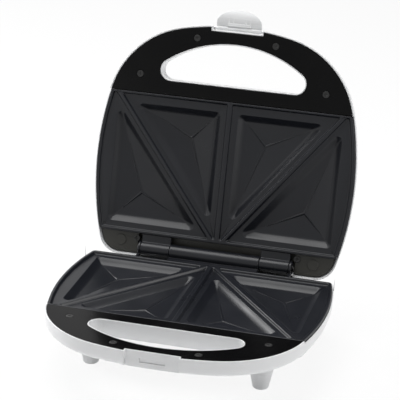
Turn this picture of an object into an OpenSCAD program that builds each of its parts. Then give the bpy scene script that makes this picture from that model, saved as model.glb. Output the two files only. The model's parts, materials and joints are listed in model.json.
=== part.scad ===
// Sandwich toaster: two hinged halves, each a moulded shell with a cast cooking plate.
// Millimetres. Everything is described closed, about the hinge line; the lid group is then swung open.
// In a half's own frame X runs to the right, -Y runs to the handle, and Z = 0 is the plane that
// the two halves share when shut. The base lies below that plane, and the lid is its mirror image.

/* [Plan outline] */
// Half of the width, at the widest point of the sides
half_w = 118.6; // [114:0.2:124]
// Radius of the bowed sides
side_r = 265; // [230:5:320]
// Distance from the hinge line to the widest point
side_mid = 78; // [74:0.5:82]
// Distance from the hinge line to the front of the handle
front_reach = 207; // [203:0.5:212]
// Radius of the handle's front edge
front_r = 230; // [200:5:260]
// Radius that joins the front edge to the sides
front_corner_r = 80; // [70:1:88]
// Distance that the lid's shell reaches behind the hinge line
rear_reach = 8; // [7:0.5:10]
// Radius of the shell's rear corners
rear_corner_r = 20; // [17:0.5:22]

/* [Shell] */
// Wall of both shells
wall = 2.2; // [1.8:0.1:2.6]
// Height of a shell's deep part, from the shared plane
bowl_depth = 36; // [34:0.5:39]
// Height of the handle part
handle_depth = 15; // [13:0.25:16]
// Height of the upright side, down to where it curves in
side_upright = 8; // [7:0.5:11]
// Radius of the curve under the sides
edge_curve_r = 13; // [12:0.5:17]
// Distance from the hinge line to the front of the deep part
bowl_front = 146; // [144:0.5:150]
// Radius of the deep part's front corners
bowl_corner_r = 15; // [12:0.5:18]
// Drop of the shell's lip below the plate's rim
lip_drop = 2.5; // [2:0.1:3]
// Thickness of that lip beside the plate
lip_w = 1.3; // [1.1:0.1:1.5]
// Gap between the lip and what sits in it
seat_gap = 0.3; // [0.2:0.05:0.4]
// Distance from the hinge line to the back wall of the base
base_back = 9; // [8.5:0.1:10]
// Depth of the base's rear ledge below the shared plane
ledge_drop = 11; // [10.5:0.25:13]

/* [Cooking plate] */
// Distance from the hinge line to the plate's back edge
plate_back = 13.5; // [13:0.25:15]
// Distance from the hinge line to the plate's front edge
plate_front = 140; // [138:0.5:142]
// Thickness of the plate's rim
plate_t = 4.5; // [4:0.25:5.5]
// Width of the flat rim around the plate
rim_w = 2.6; // [2:0.1:3.5]
// Depth of the land inside the rim
land_depth = 2.5; // [2:0.1:3]
// Width of the rib between the two slices
mid_rib = 4.4; // [3.6:0.2:5.2]
// Width of the ridge that cuts a slice into triangles
cut_ridge = 3.4; // [2.8:0.1:4]
// Place of the ridge's inner end, from the middle
cut_inner_x = 5.6; // [4:0.2:7]
// Distance from the widest point of the side to the ridge's outer end
cut_outer_in = 16.7; // [14.5:0.2:19.5]

/* [Pockets] */
// Margin between the cutting ridge's middle and a pocket
pocket_ridge_gap = 6.8; // [6.4:0.1:8]
// Distance from the hinge line to the outer pocket's back edge
pocket_back = 22.5; // [21:0.25:25]
// Distance from the hinge line to the inner pocket's front edge
pocket_front = 129.5; // [128:0.25:131]
// Distance from the widest point of the side to the outer pocket's far edge
pocket_side_in = 16.6; // [14.6:0.2:19.6]
// Distance from the middle to the inner pocket's near edge
pocket_mid = 8.5; // [8:0.25:11]
// Depth of a pocket at the foot of its walls, below the land
pocket_edge_depth = 5; // [4:0.25:6]
// Depth of a pocket at its lowest point, below the land
pocket_depth = 7.5; // [6.5:0.25:9]
// Radius of a pocket's corners
pocket_corner_r = 3.6; // [3.4:0.1:4.5]
// Cast wall around a pocket
pocket_wall = 2.2; // [1.8:0.1:2.4]
// Width of a crease where it starts, at the lowest point
crease_w = 3.2; // [2.4:0.1:4]
// Height of a crease there
crease_h = 1.2; // [0.8:0.1:1.6]

/* [Hinge] */
// Height of the hinge line above the shared plane
hinge_z = 1.9; // [1.5:0.1:2.3]
// Angle of the lid when it stands open
open_angle = 104; // [96:0.5:105]
// Gap between the two halves when shut
part_gap = 0.4; // [0.3:0.05:0.6]
// Radius of the base's middle barrel
barrel_r = 7; // [6.6:0.1:7.2]
// Radius of the lid's two knuckles
knuckle_r = 6.5; // [6:0.1:6.8]
// Half of the middle barrel's length
barrel_half = 41; // [38:0.5:44]
// Distance from the middle to a knuckle's outer end
knuckle_end = 68; // [65:0.5:69]
// Thickness of the base's outer ears
ear_t = 2; // [1.8:0.1:2.2]
// Radius of the hinge pin
pin_r = 2; // [1.8:0.1:2.4]
// Radial clearance of the pin in its bores
pin_clear = 0.05; // [0.03:0.01:0.08]
// End clearance between the hinge's leaves
leaf_gap = 0.4; // [0.3:0.05:0.6]

/* [Handle] */
// Distance from the hinge line to the grip opening's back edge
grip_back = 153.8; // [152:0.2:156]
// Distance from the hinge line to the grip opening's front
grip_front = 190; // [187:0.5:192]
// Radius of the grip opening's front edge
grip_front_r = 105; // [98:1:112]
// Radius of the grip opening's ends
grip_end_r = 9; // [8:0.25:10]
// Thickness of the shell's lip that shows round the opening
grip_lip = 1; // [0.8:0.1:1.2]
// Thickness of the handle covers
trim_t = 2.2; // [2:0.1:2.6]
// Gap between a cover's back edge and the plate
trim_back_gap = 0.5; // [0.4:0.1:0.8]

/* [Latch] */
// Half of the latch's width
latch_half = 20.5; // [19:0.25:21]
// Length of the latch from its pivot
latch_len = 17; // [16:0.25:18]
// Thickness of the latch
latch_t = 2.2; // [2:0.1:2.4]
// Half of the width of the recess that it closes into
recess_half = 22.5; // [22:0.25:24]
// Depth of that recess
recess_depth = 5; // [4.8:0.1:5.4]
// Distance of the pivot above the shared plane
latch_pivot_z = 6; // [5.5:0.1:7]
// Radius of the latch pin
latch_pin_r = 1; // [0.9:0.05:1.1]
// Half of the width of the latch's hook
hook_half = 10; // [8:0.5:12]
// Reach of the hook
hook_reach = 2.7; // [2.4:0.1:3]

/* [Feet and fixings] */
// Height of the shared plane above the table
stand_height = 53.2; // [52:0.2:56]
// Height of a foot
foot_h = 16; // [14:0.5:17]
// Radius of a foot at its top
foot_top_r = 10; // [9:0.25:10.5]
// Radius of a foot at the table
foot_low_r = 7; // [6:0.25:8]
// Distance from the widest point of the side to a foot
foot_in = 44.6; // [40.6:0.5:48.6]
// Distance from the hinge line to the front feet
foot_front = 128; // [122:0.5:131]
// Distance from the hinge line to the rear feet
foot_rear = 6; // [5:0.5:12]
// Radius of a screw's shank
screw_r = 1.4; // [1.2:0.1:1.6]
// Radius of a screw's head
screw_head_r = 3; // [2.6:0.1:3.2]
// Height of a screw's head
screw_head_h = 1.3; // [1.1:0.1:1.6]

/* [Heating] */
// Radius of the heater tubes
heater_r = 3.2; // [2.8:0.1:3.4]
// Thickness of the reflector sheets
reflector_t = 0.6; // [0.5:0.1:0.8]
// Drop of a reflector below the shared plane
reflector_drop = 17.6; // [17:0.2:19]
// Radius of the cord's bore in its gland
gland_bore_r = 3.6; // [3:0.1:4]

/* [Hidden] */
$fn = 48;
eps = 0.5;                       // overshoot of a cut past the face that it opens

WHITE = "#f2f2f0";
BLACK = "#1b1b1d";
CAST = "#33353a";
STEEL = "#b9bbbe";

// ---------------------------------------------------------------- plan curves

// Centres of the arcs that make the plan outline. An inset only shortens their radii.
side_c = [half_w - side_r, -side_mid];
front_c = [0, front_r - front_reach];
corner_c = meet(side_c, side_r - front_corner_r, front_c, front_r - front_corner_r);

// The crossing, on the right and to the front, of two circles given by centre and radius
function meet(a, ra, b, rb) =
    let (v = b - a, d = norm(v), u = v / d, along = (ra * ra - rb * rb + d * d) / (2 * d))
    a + u * along + [-u[1], u[0]] * -sqrt(ra * ra - along * along);

function angle_of(v) = atan2(v[1], v[0]);
// Points of an arc without its last one, which the next stretch starts with
function arc(c, r, from, to, n) = [for (i = [0:n - 1]) c + r * [cos(from + (to - from) * i / n),
    sin(from + (to - from) * i / n)]];
function mirrored(p) = [for (i = [len(p) - 2:-1:0]) [-p[i][0], p[i][1]]];
// Both sides of a plan, from the end of its straight back round to the same place on the left
function whole(p) = concat(p, mirrored(p));

// Centre of a corner of radius r that blends the bowed side into a cross line at y
function side_corner(y, r, s) = [side_c[0] + sqrt(pow(side_r - r, 2) - pow(y - s * r - side_c[1], 2)), y - s * r];

// The plan with the handle, inset by d, round from the right end of the straight back to the left one
function handle_plan(d, back, back_r) =
    let (c = side_corner(back, back_r, 1), a = angle_of(c - side_c), b = angle_of(corner_c - side_c),
        e = angle_of(corner_c - front_c))
    whole(concat(arc(c, back_r - d, 90, a, 7), arc(side_c, side_r - d, a, b, 12),
        arc(corner_c, front_corner_r - d, b, e, 12), arc(front_c, front_r - d, e, -90, 5),
        [[0, -front_reach + d]]));

// The plan of a part that ends in a straight front, with as many points
function body_plan(d, back, back_r, front, front_corner) =
    let (c = side_corner(back, back_r, 1), f = side_corner(front, front_corner, -1),
        a = angle_of(c - side_c), b = angle_of(f - side_c))
    whole(concat(arc(c, back_r - d, 90, a, 7), arc(side_c, side_r - d, a, b, 12),
        arc(f, front_corner - d, b, -90, 12), [for (i = [0:4]) [f[0] * (1 - i / 5), front + d]],
        [[0, front + d]]));

function plate_plan(d) = body_plan(lip_w + seat_gap + d, -plate_back + lip_w + seat_gap, 5.5,
    -plate_front - lip_w - seat_gap, 4.5);

// The grip opening, grown by d
function grip_plan(d) =
    let (c0 = [0, grip_front_r - grip_front], cy = -grip_back - grip_end_r,
        c = [sqrt(pow(grip_front_r - grip_end_r, 2) - pow(cy - c0[1], 2)), cy], e = angle_of(c - c0))
    whole(concat(arc(c, grip_end_r + d, 90, e, 12),
        arc(c0, grip_front_r + d, e, -90, 9), [[0, -grip_front - d]]));

// ---------------------------------------------------------------- lofts

function at_z(p, z) = [for (q = p) [q[0], q[1], z]];

// Solid through rings of equal count, listed from the top down, each running clockwise from above
module loft(rings) {
    n = len(rings[0]);
    k = len(rings);
    polyhedron(points = [for (r = rings) each r], faces = concat(
        [[for (i = [0:n - 1]) i]],
        [for (j = [0:k - 2], i = [0:n - 1]) let (m = (i + 1) % n)
            [j * n + i, (j + 1) * n + i, (j + 1) * n + m, j * n + m]],
        [[for (i = [n - 1:-1:0]) (k - 1) * n + i]]), convexity = 6);
}

// Loft that closes in a single low point
module loft_to_point(rings, tip) {
    n = len(rings[0]);
    k = len(rings);
    polyhedron(points = concat([for (r = rings) each r], [tip]), faces = concat(
        [[for (i = [0:n - 1]) i]],
        [for (j = [0:k - 2], i = [0:n - 1]) let (m = (i + 1) % n)
            [j * n + i, (j + 1) * n + i, (j + 1) * n + m, j * n + m]],
        [for (i = [0:n - 1]) [(k - 1) * n + i, k * n, (k - 1) * n + (i + 1) % n]]), convexity = 6);
}

// A clockwise polygon p inset by d, with its corners rounded to r. A faint corner keeps one point.
faint = 15;
function rounded(p, d, r, n) = [for (i = [0:len(p) - 1])
    let (a = p[(i + len(p) - 1) % len(p)], b = p[i], c = p[(i + 1) % len(p)],
        u = (b - a) / norm(b - a), v = (c - b) / norm(c - b), m1 = [-u[1], u[0]], m2 = [-v[1], v[0]],
        o = b - (m1 + m2) * (d + r) / (1 + m1 * m2), a1 = angle_of(m1), turn = acos(min(1, m1 * m2)))
    for (t = turn < faint ? [turn / 2] : [for (k = [0:n]) turn * k / n]) o + r * [cos(a1 - t), sin(a1 - t)]];

// ---------------------------------------------------------------- shells

base_corner_r = 9.6;             // radius of the base's back corners, above the ledge
base_rear_in = 5.6;              // inset from the widest point of the prism that those corners belong to
base_rear_half = half_w - base_rear_in;
deep_mid = (rear_reach - bowl_front) / 2;
deep_half = (rear_reach + bowl_front) / 2;
deep_top = 3;                    // depth at which the deep part starts, inside the handle part
floor_in = 64;                   // inset at which the deep part's floor is flat
side_draft = 0.8;                // how far the upright side leans in
curve_end = 70;                  // angle at which the edge curve runs into the floor
curve_in = side_draft + edge_curve_r * (1 - cos(curve_end));
curve_z = side_upright + edge_curve_r * sin(curve_end);
handle_edge = [[0, 0], [0.6, 0.62], [1.8, 0.84], [3.8, 0.955], [6.5, 1]];   // inset, share of the depth

// The handle part: the whole plan, with a low rounded edge. w is how far it lies inside the outer face.
module handle_form(w, top) {
    loft(concat([at_z(handle_plan(w, rear_reach, rear_corner_r), -top)],
        [for (i = [1:len(handle_edge) - 1]) let (q = handle_edge[i])
            at_z(handle_plan(w + q[0], rear_reach, rear_corner_r), -q[1] * handle_depth + w)]));
}

// Levels of the deep part: inset and depth, round the curved edge and over the shallow floor
deep_profile = concat(
    [for (t = [0:14:curve_end]) [side_draft + edge_curve_r * (1 - cos(t)), side_upright + edge_curve_r * sin(t)]],
    [for (s = [0.28, 0.6, 1])
        [curve_in + (floor_in - curve_in) * s, curve_z + (bowl_depth - curve_z) * sin(90 * s)]]);

// One level: a true inset while it is small, then drawn in towards the middle
function deep_ring(d, z, w) =
    let (near = min(d, 4), far = d - near, sx = (half_w - far) / half_w, sy = (deep_half - far) / deep_half)
    [for (q = body_plan(near + w, rear_reach, rear_corner_r, -bowl_front, bowl_corner_r))
        [q[0] * sx, deep_mid + (q[1] - deep_mid) * sy, z]];

module deep_form(w) {
    top = deep_top + w;
    loft(concat([deep_ring(side_draft * top / side_upright, -top, w)],
        [for (q = deep_profile) if (q[1] > top + 0.2) deep_ring(q[0], -q[1] + w, w)]));
}

// What lies above the base's rear ledge and behind its back wall, grown by w
module above_ledge(w) {
    h = base_rear_half;
    translate([0, 0, -ledge_drop - w]) linear_extrude(ledge_drop + w + 1) difference() {
        translate([-half_w, -base_back - 16]) square([2 * half_w, rear_reach + base_back + 17]);
        polygon(rounded([[-h, -base_back], [h, -base_back], [h, -bowl_front], [-h, -bowl_front]],
            w, base_corner_r - w, 6));
    }
}

screw_spots = [[84.3, -156.4], [35.5, -193.3]];
module at_trim_screws() {
    for (sx = [-1, 1], p = screw_spots) translate([sx * p[0], p[1], 0]) children();
}

post_spots = [[60, -40], [60, -105]];
post_r = 3.5;
module at_posts() {
    for (sx = [-1, 1], p = post_spots) translate([sx * p[0], p[1], 0]) children();
}

recess_y = -front_reach + recess_depth;
block_half = recess_half + wall;
latch_y = recess_y - 2.2;        // place of the latch pivot, in front of the recess floor
latch_hub_r = 1.9;

// What both halves share: walls, handle, grip opening, plate seat, bosses and latch recess.
// back is where the seat ends. A stepped shell has the rear ledge.
module half_shell(back, back_r, post_top, stepped) {
    difference() {
        union() {
            handle_form(0, 0);
            deep_form(0);
        }
        if (stepped) above_ledge(0);
        difference() {
            union() {
                handle_form(wall, lip_drop - 1);
                translate([0, 0, -deep_top - wall - 3]) linear_extrude(deep_top + wall + 3)
                    polygon(body_plan(wall, rear_reach, rear_corner_r, -bowl_front, bowl_corner_r));
                deep_form(wall);
            }
            if (stepped) above_ledge(wall);
            translate([0, 0, -handle_depth - eps]) linear_extrude(handle_depth + 1)
                polygon(grip_plan(wall));
            translate([-block_half, -front_reach - 1, -handle_depth - eps])
                cube([2 * block_half, 1 + recess_depth + wall, handle_depth + 1]);
            at_trim_screws() translate([0, 0, -handle_depth]) cylinder(r = screw_head_r + 0.4, h = handle_depth);
            at_posts() {
                translate([0, 0, -bowl_depth]) cylinder(r = post_r + 2, h = bowl_depth - reflector_drop);
                translate([0, 0, -bowl_depth]) cylinder(r = post_r, h = bowl_depth - post_top);
            }
            translate([-half_w, -plate_front - 2, -handle_depth]) cube([2 * half_w, wall, handle_depth - plate_t]);
        }
        // seat of the handle cover, and of the plate behind it
        translate([0, 0, -trim_t]) linear_extrude(trim_t + 1) difference() {
            polygon(handle_plan(lip_w, back, back_r));
            polygon(grip_plan(grip_lip));
            translate([-half_w, -plate_front - 0.2]) square([2 * half_w, 200]);
            translate([-recess_half - grip_lip, -front_reach - 1])
                square([2 * (recess_half + grip_lip), 1 + recess_depth + grip_lip]);
        }
        translate([0, 0, -plate_t]) linear_extrude(plate_t + 1) intersection() {
            polygon(handle_plan(lip_w, back, back_r));
            translate([-half_w, -plate_front - 0.3]) square([2 * half_w, 200]);
        }
        translate([-half_w - 1, -plate_front - 0.3, -lip_drop]) cube([2 * half_w + 2, 200, lip_drop + 1]);
        translate([0, 0, -handle_depth - 1]) linear_extrude(handle_depth + 2) polygon(grip_plan(0));
        translate([-recess_half, -front_reach - 2, -handle_depth - 1])
            cube([2 * recess_half, 2 + recess_depth, handle_depth + 2]);
        at_trim_screws() translate([0, 0, -handle_depth + 2]) cylinder(r = screw_r + 0.05, h = handle_depth);
    }
}

// The bay that the hinge's leaves stand in: the back wall stops below them there
module hinge_bay(depth, from, to) {
    half = knuckle_end + leaf_gap + ear_t + leaf_gap + 0.6;
    translate([-half, from, -depth]) cube([2 * half, to - from, depth + 1]);
}

// ---------------------------------------------------------------- cooking plate

cut_outer_x = half_w - cut_outer_in;
pocket_side = half_w - pocket_side_in;
land_back = -plate_back - rim_w;
land_front = -plate_front + rim_w - 0.6;
cut_a = [cut_inner_x, land_back];
cut_b = [cut_outer_x, land_front];
cut_u = (cut_b - cut_a) / norm(cut_b - cut_a);
cut_n = [-cut_u[1], cut_u[0]];

// A point on the cutting ridge's line moved out by m, where it crosses a given y or x
function cut_at_y(m, y) = let (p = cut_a + m * cut_n) [p[0] + (y - p[1]) * cut_u[0] / cut_u[1], y];
function cut_at_x(m, x) = let (p = cut_a + m * cut_n) [x, p[1] + (x - p[0]) * cut_u[1] / cut_u[0]];

outer_pocket = [cut_at_y(pocket_ridge_gap, -pocket_back), [pocket_side, -pocket_back],
    cut_at_x(pocket_ridge_gap, pocket_side)];
inner_pocket = [cut_at_x(-pocket_ridge_gap, pocket_mid), cut_at_y(-pocket_ridge_gap, -pocket_front),
    [pocket_mid, -pocket_front]];

land_side_r = side_r - lip_w - seat_gap - rim_w;
function land_side(y) = [side_c[0] + sqrt(pow(land_side_r, 2) - pow(y - side_c[1], 2)), y];
outer_land = concat([cut_at_y(cut_ridge / 2, land_back)],
    [for (i = [0:6]) land_side(land_back + (land_front - land_back) * i / 6)],
    [cut_at_y(cut_ridge / 2, land_front)]);
inner_land = [cut_at_x(-cut_ridge / 2, mid_rib / 2), cut_at_y(-cut_ridge / 2, land_front),
    [mid_rib / 2, land_front]];

function incentre(t) = let (a = norm(t[1] - t[2]), b = norm(t[2] - t[0]), c = norm(t[0] - t[1]))
    (t[0] * a + t[1] * b + t[2] * c) / (a + b + c);
function inradius(t) = let (a = norm(t[1] - t[2]), b = norm(t[2] - t[0]), c = norm(t[0] - t[1]),
    v = t[1] - t[0], w = t[2] - t[0]) abs(v[0] * w[1] - v[1] * w[0]) / (a + b + c);

// Inset and depth of each level of a pocket's wall, from the flare at the land to the foot
wall_lean = 1.8;
pocket_walls = [[-1.7, -0.4], [-0.45, 0.35], [0, 1.1], [wall_lean, pocket_edge_depth - 0.9],
    [wall_lean + 0.7, pocket_edge_depth - 0.25], [wall_lean + 1.8, pocket_edge_depth]];
pocket_foot = wall_lean + 1.8;

module pocket(t) {
    c = incentre(t);
    loft_to_point([for (q = pocket_walls)
        at_z(rounded(t, q[0], max(0.8, pocket_corner_r - 0.8 * q[0]), 5), -land_depth - q[1])],
        [c[0], c[1], -land_depth - pocket_depth]);
}

// The raised star of three creases on a pocket's floor, each arm fading out towards its corner
crease_reach = 0.66;
module creases(t) {
    c = incentre(t);
    low = -land_depth - pocket_depth;
    rise = (pocket_depth - pocket_edge_depth) / (1 - pocket_foot / inradius(t));
    star = [for (i = [0:2]) let (u = (t[i] - c) / norm(t[i] - c), w = (t[(i + 1) % 3] - c) / norm(t[(i + 1) % 3] - c),
        tip = c + (t[i] - c) * crease_reach, notch = c + (u + w) / norm(u + w) * crease_w / 2)
        each [[tip[0], tip[1], low + rise * crease_reach - 0.05], [notch[0], notch[1], low - 0.1]]];
    polyhedron(concat([[c[0], c[1], low + crease_h], [c[0], c[1], low - 1]], star), concat(
        [for (i = [0:5]) [0, 2 + i, 2 + (i + 1) % 6]], [for (i = [0:5]) [1, 2 + (i + 1) % 6, 2 + i]]));
}

module land(p) {
    loft([for (q = [[-1.2, -0.7], [0, 0.6], [0.4, land_depth - 0.6], [1, land_depth]])
        at_z(rounded(p, q[0], 1.2 - 0.6 * q[0], 3), -q[1])]);
}

plate_deep = land_depth + pocket_depth + pocket_wall;

module cast_plate() {
    difference() {
        union() {
            translate([0, 0, -plate_t]) linear_extrude(plate_t) polygon(plate_plan(0));
            for (m = [0, 1], t = [outer_pocket, inner_pocket]) mirror([m, 0, 0])
                translate([0, 0, -plate_deep]) linear_extrude(plate_deep - 1)
                    polygon(rounded(t, -pocket_wall, pocket_corner_r + 1, 4));
        }
        for (m = [0, 1]) mirror([m, 0, 0]) {
            land(outer_land);
            land(inner_land);
            pocket(outer_pocket);
            pocket(inner_pocket);
        }
    }
    for (m = [0, 1]) mirror([m, 0, 0]) {
        creases(outer_pocket);
        creases(inner_pocket);
    }
}

// A hinge leaf: a round eye on the hinge line and the web that joins it to the plate's back edge
web_drop = 0.5;
module leaf(from, to, r, axis_z) {
    translate([from, 0, axis_z]) rotate([0, 90, 0]) cylinder(r = r, h = to - from);
    translate([from, -plate_back - 0.5, -plate_t]) cube([to - from, plate_back + 0.5, plate_t - web_drop]);
}

module leaf_bore(axis_z) {
    translate([-half_w, 0, axis_z]) rotate([0, 90, 0]) cylinder(r = pin_r + pin_clear, h = 2 * half_w);
}

// ---------------------------------------------------------------- placing

base_axis_z = hinge_z + part_gap / 2;
lid_axis_z = -hinge_z + part_gap / 2;

// The rearmost point of the open lid is on its handle's edge, and the foremost is the base's front
back_most = max([for (q = handle_edge) (front_reach - q[0]) * -cos(open_angle)
    + (q[1] * handle_depth + part_gap / 2 - hinge_z) * sin(open_angle)]);
front_most = front_reach - recess_half * recess_half / (2 * front_r);
shift_y = (front_most - back_most) / 2;
origin = [0, shift_y, stand_height];

module in_base() {
    translate(origin) translate([0, 0, -part_gap / 2]) children();
}
module in_lid() {
    translate(origin + [0, 0, hinge_z]) rotate([-open_angle, 0, 0])
        translate([0, 0, part_gap / 2 - hinge_z]) mirror([0, 0, 1]) children();
}

echo(hinge = origin + [0, 0, hinge_z]);
echo(latch = origin + [0, 0, hinge_z] + [0,
    latch_y * cos(open_angle) + (latch_pivot_z + part_gap / 2 - hinge_z) * sin(open_angle),
    -latch_y * sin(open_angle) + (latch_pivot_z + part_gap / 2 - hinge_z) * cos(open_angle)]);

// ---------------------------------------------------------------- base pieces

foot_x = half_w - foot_in;
foot_spots = [[-foot_x, -foot_front], [foot_x, -foot_front], [-foot_x, -foot_rear], [foot_x, -foot_rear]];
foot_top = stand_height - part_gap / 2 - foot_h;
peg_r = 3;
peg_h = 6;
gland_at = [-52, rear_reach - 1, -19.5];
gland_flange = 1.2;              // distance from there to the face of the collar

module base_shell() {
    color(WHITE) in_base() difference() {
        union() {
            half_shell(-base_back, base_corner_r, plate_deep, true);
            for (p = foot_spots) translate([p[0], p[1], -foot_top]) cylinder(r = foot_top_r, h = foot_top - 20);
            translate([gland_at[0], gland_at[1] - 10, gland_at[2]]) rotate([-90, 0, 0])
                cylinder(r = 7.6, h = 10 + gland_flange - 0.05);
        }
        hinge_bay(plate_t + 0.3, -plate_back - 1, 0);
        for (p = foot_spots) translate([p[0], p[1], -foot_top - 1]) cylinder(r = peg_r + 0.05, h = peg_h + 1.2);
        at_posts() {
            translate([0, 0, -bowl_depth - 1]) cylinder(r = screw_r + 0.25, h = bowl_depth);
            translate([0, 0, -bowl_depth - 1]) cylinder(r = screw_head_r + 0.3, h = 8);
        }
        translate([gland_at[0], gland_at[1] - 14, gland_at[2]]) rotate([-90, 0, 0]) cylinder(r = 6, h = 18);
        translate([-hook_half - 0.6, recess_y - 1, -latch_pivot_z - 3.9])
            cube([2 * hook_half + 1.2, wall + 2, 3.9]);
    }
}

module trim(back, back_r) {
    difference() {
        translate([0, 0, -trim_t]) linear_extrude(trim_t) polygon(handle_plan(lip_w + seat_gap, back, back_r));
        translate([-half_w, -plate_front - trim_back_gap, -trim_t - 1]) cube([2 * half_w, 200, trim_t + 2]);
        translate([0, 0, -trim_t - 1]) linear_extrude(trim_t + 2) polygon(grip_plan(grip_lip + seat_gap));
        translate([-recess_half - grip_lip - seat_gap, -front_reach - 1, -trim_t - 1])
            cube([2 * (recess_half + grip_lip + seat_gap), 1 + recess_depth + grip_lip + seat_gap, trim_t + 2]);
        at_trim_screws() {
            translate([0, 0, -trim_t - 1]) cylinder(r = screw_r + 0.3, h = trim_t + 2);
            translate([0, 0, -screw_head_h - 0.1]) cylinder(r = screw_head_r + 0.25, h = screw_head_h + 1);
        }
    }
}

// A pan-head screw of length h under its face, standing head up, with a cross slot
trim_screw_l = 9;
rear_screw_l = 6;
module screw(h) {
    difference() {
        union() {
            translate([0, 0, -screw_head_h]) cylinder(r = screw_head_r, h = screw_head_h);
            translate([0, 0, -h]) cylinder(r = screw_r, h = h);
        }
        for (a = [0, 90]) rotate([0, 0, a]) translate([-1.6, -0.35, -0.7]) cube([3.2, 0.7, 1]);
    }
}

module base_trim() {
    color(BLACK) in_base() trim(-base_back, base_corner_r);
}

module base_trim_screws() {
    color(STEEL) in_base() at_trim_screws() screw(trim_screw_l);
}

module base_plate() {
    color(CAST) in_base() difference() {
        union() {
            cast_plate();
            leaf(-barrel_half, barrel_half, barrel_r, base_axis_z);
            for (m = [0, 1]) mirror([m, 0, 0])
                leaf(knuckle_end + leaf_gap, knuckle_end + leaf_gap + ear_t, knuckle_r, base_axis_z);
        }
        leaf_bore(base_axis_z);
        at_posts() translate([0, 0, -plate_deep - 1]) cylinder(r = screw_r + 0.05, h = 2.8);
    }
}

// Heater tube: down one cutting ridge's lane, along the front and back up the other lane
lane_front = (-pocket_front - pocket_wall - plate_front) / 2;
heater_z = -plate_t - heater_r - 0.3;
module heater() {
    start = cut_at_y(0, -24);
    corner = cut_at_y(0, lane_front);
    translate([0, 0, heater_z]) {
        for (m = [0, 1]) mirror([m, 0, 0]) {
            translate([start[0], start[1], 0]) rotate([0, 0, angle_of(corner - start)]) rotate([0, 90, 0]) {
                cylinder(r = heater_r, h = norm(corner - start));
                translate([0, 0, -6]) cylinder(r = 1.5, h = 7);
            }
            translate([corner[0], corner[1], 0]) sphere(r = heater_r + 0.25);
        }
        translate([-corner[0], corner[1], 0]) rotate([0, 90, 0]) cylinder(r = heater_r, h = 2 * corner[0]);
    }
}

// Saddles that hold the tube against the plate
clip_l = 10;
clip_back = 60;                  // distance from the hinge line to the middle of the rear saddles
clip_front = 105;                // and of the front ones
module heater_clips() {
    w = 2 * (pocket_ridge_gap - pocket_wall) - 0.6;
    drop = plate_t + 2 * heater_r + 2;
    spots = [cut_at_y(0, -clip_back), cut_at_y(0, -clip_front)];
    for (m = [0, 1], p = spots) mirror([m, 0, 0]) translate([p[0], p[1], 0]) rotate([0, 0, angle_of(cut_u)])
        difference() {
            translate([-clip_l / 2, -w / 2, -drop]) cube([clip_l, w, drop - plate_t]);
            translate([-clip_l, 0, heater_z]) rotate([0, 90, 0]) cylinder(r = heater_r + 0.05, h = 2 * clip_l);
            translate([-clip_l, -heater_r - 0.05, heater_z])
                cube([2 * clip_l, 2 * heater_r + 0.1, heater_r + 1]);
        }
}

// Bright sheet under the heater, with holes for the posts
reflector_in = 24;               // inset from the sides
reflector_back_r = 26;
reflector_front_r = 30;
module reflector() {
    difference() {
        translate([0, 0, -reflector_drop]) linear_extrude(reflector_t)
            polygon(body_plan(reflector_in, -base_back, reflector_back_r, -bowl_front, reflector_front_r));
        at_posts() translate([0, 0, -reflector_drop - 1]) cylinder(r = post_r + 0.3, h = 3);
    }
}

module base_heater() {
    color(STEEL) in_base() heater();
}

module base_heater_clips() {
    color(STEEL) in_base() heater_clips();
}

module base_reflector() {
    color(STEEL) in_base() reflector();
}

module base_plate_screws() {
    color(STEEL) in_base() at_posts() translate([0, 0, -bowl_depth + 7]) mirror([0, 0, 1]) difference() {
        union() {
            cylinder(r = screw_head_r, h = screw_head_h);
            translate([0, 0, plate_deep - bowl_depth + 5.6]) cylinder(r = screw_r, h = bowl_depth - plate_deep - 5);
        }
        for (a = [0, 90]) rotate([0, 0, a]) translate([-1.6, -0.35, screw_head_h - 0.7]) cube([3.2, 0.7, 1]);
    }
}

// A foot tapers to a rounded pad, with a peg that sits in the shell's boss
module foot(i) {
    p = foot_spots[i];
    pad = 2;
    color(WHITE) in_base() translate([p[0], p[1], -foot_top]) rotate_extrude() polygon(concat(
        [[0, peg_h], [peg_r, peg_h], [peg_r, 0], [foot_top_r, 0]],
        [for (a = [0:15:90]) [foot_low_r - pad + pad * cos(a), -foot_h + pad - pad * sin(a)]],
        [[0, -foot_h]]));
}

module front_left_foot() { foot(0); }
module front_right_foot() { foot(1); }
module rear_left_foot() { foot(2); }
module rear_right_foot() { foot(3); }

// Bush that the mains lead passes through, in the rear wall
module cord_gland() {
    color(BLACK) in_base() translate(gland_at) rotate([-90, 0, 0]) difference() {
        union() {
            translate([0, 0, -6]) cylinder(r = 5.95, h = 8);
            translate([0, 0, gland_flange]) cylinder(r = 7.2, h = 1.8);
        }
        translate([0, 0, -7]) cylinder(r = gland_bore_r, h = 14);
    }
}

// Ceramic block for the lead's ends, standing on the reflector
terminal = [11, 26, 8];
terminal_y = -100;               // place of its front end
terminal_pitch = 8;
module terminal_block() {
    color("#e6e0d2") in_base() translate([-terminal[0] / 2, terminal_y, reflector_t - reflector_drop])
        difference() {
            cube(terminal);
            for (i = [-1:1]) translate([0, terminal[1] / 2 + i * terminal_pitch, 0]) {
                translate([terminal[0] / 2, 0, terminal[2] / 2]) cylinder(r = 2, h = terminal[2]);
                translate([-1, 0, 2.6]) rotate([0, 90, 0]) cylinder(r = 1.2, h = terminal[0] + 2);
            }
        }
}

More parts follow.
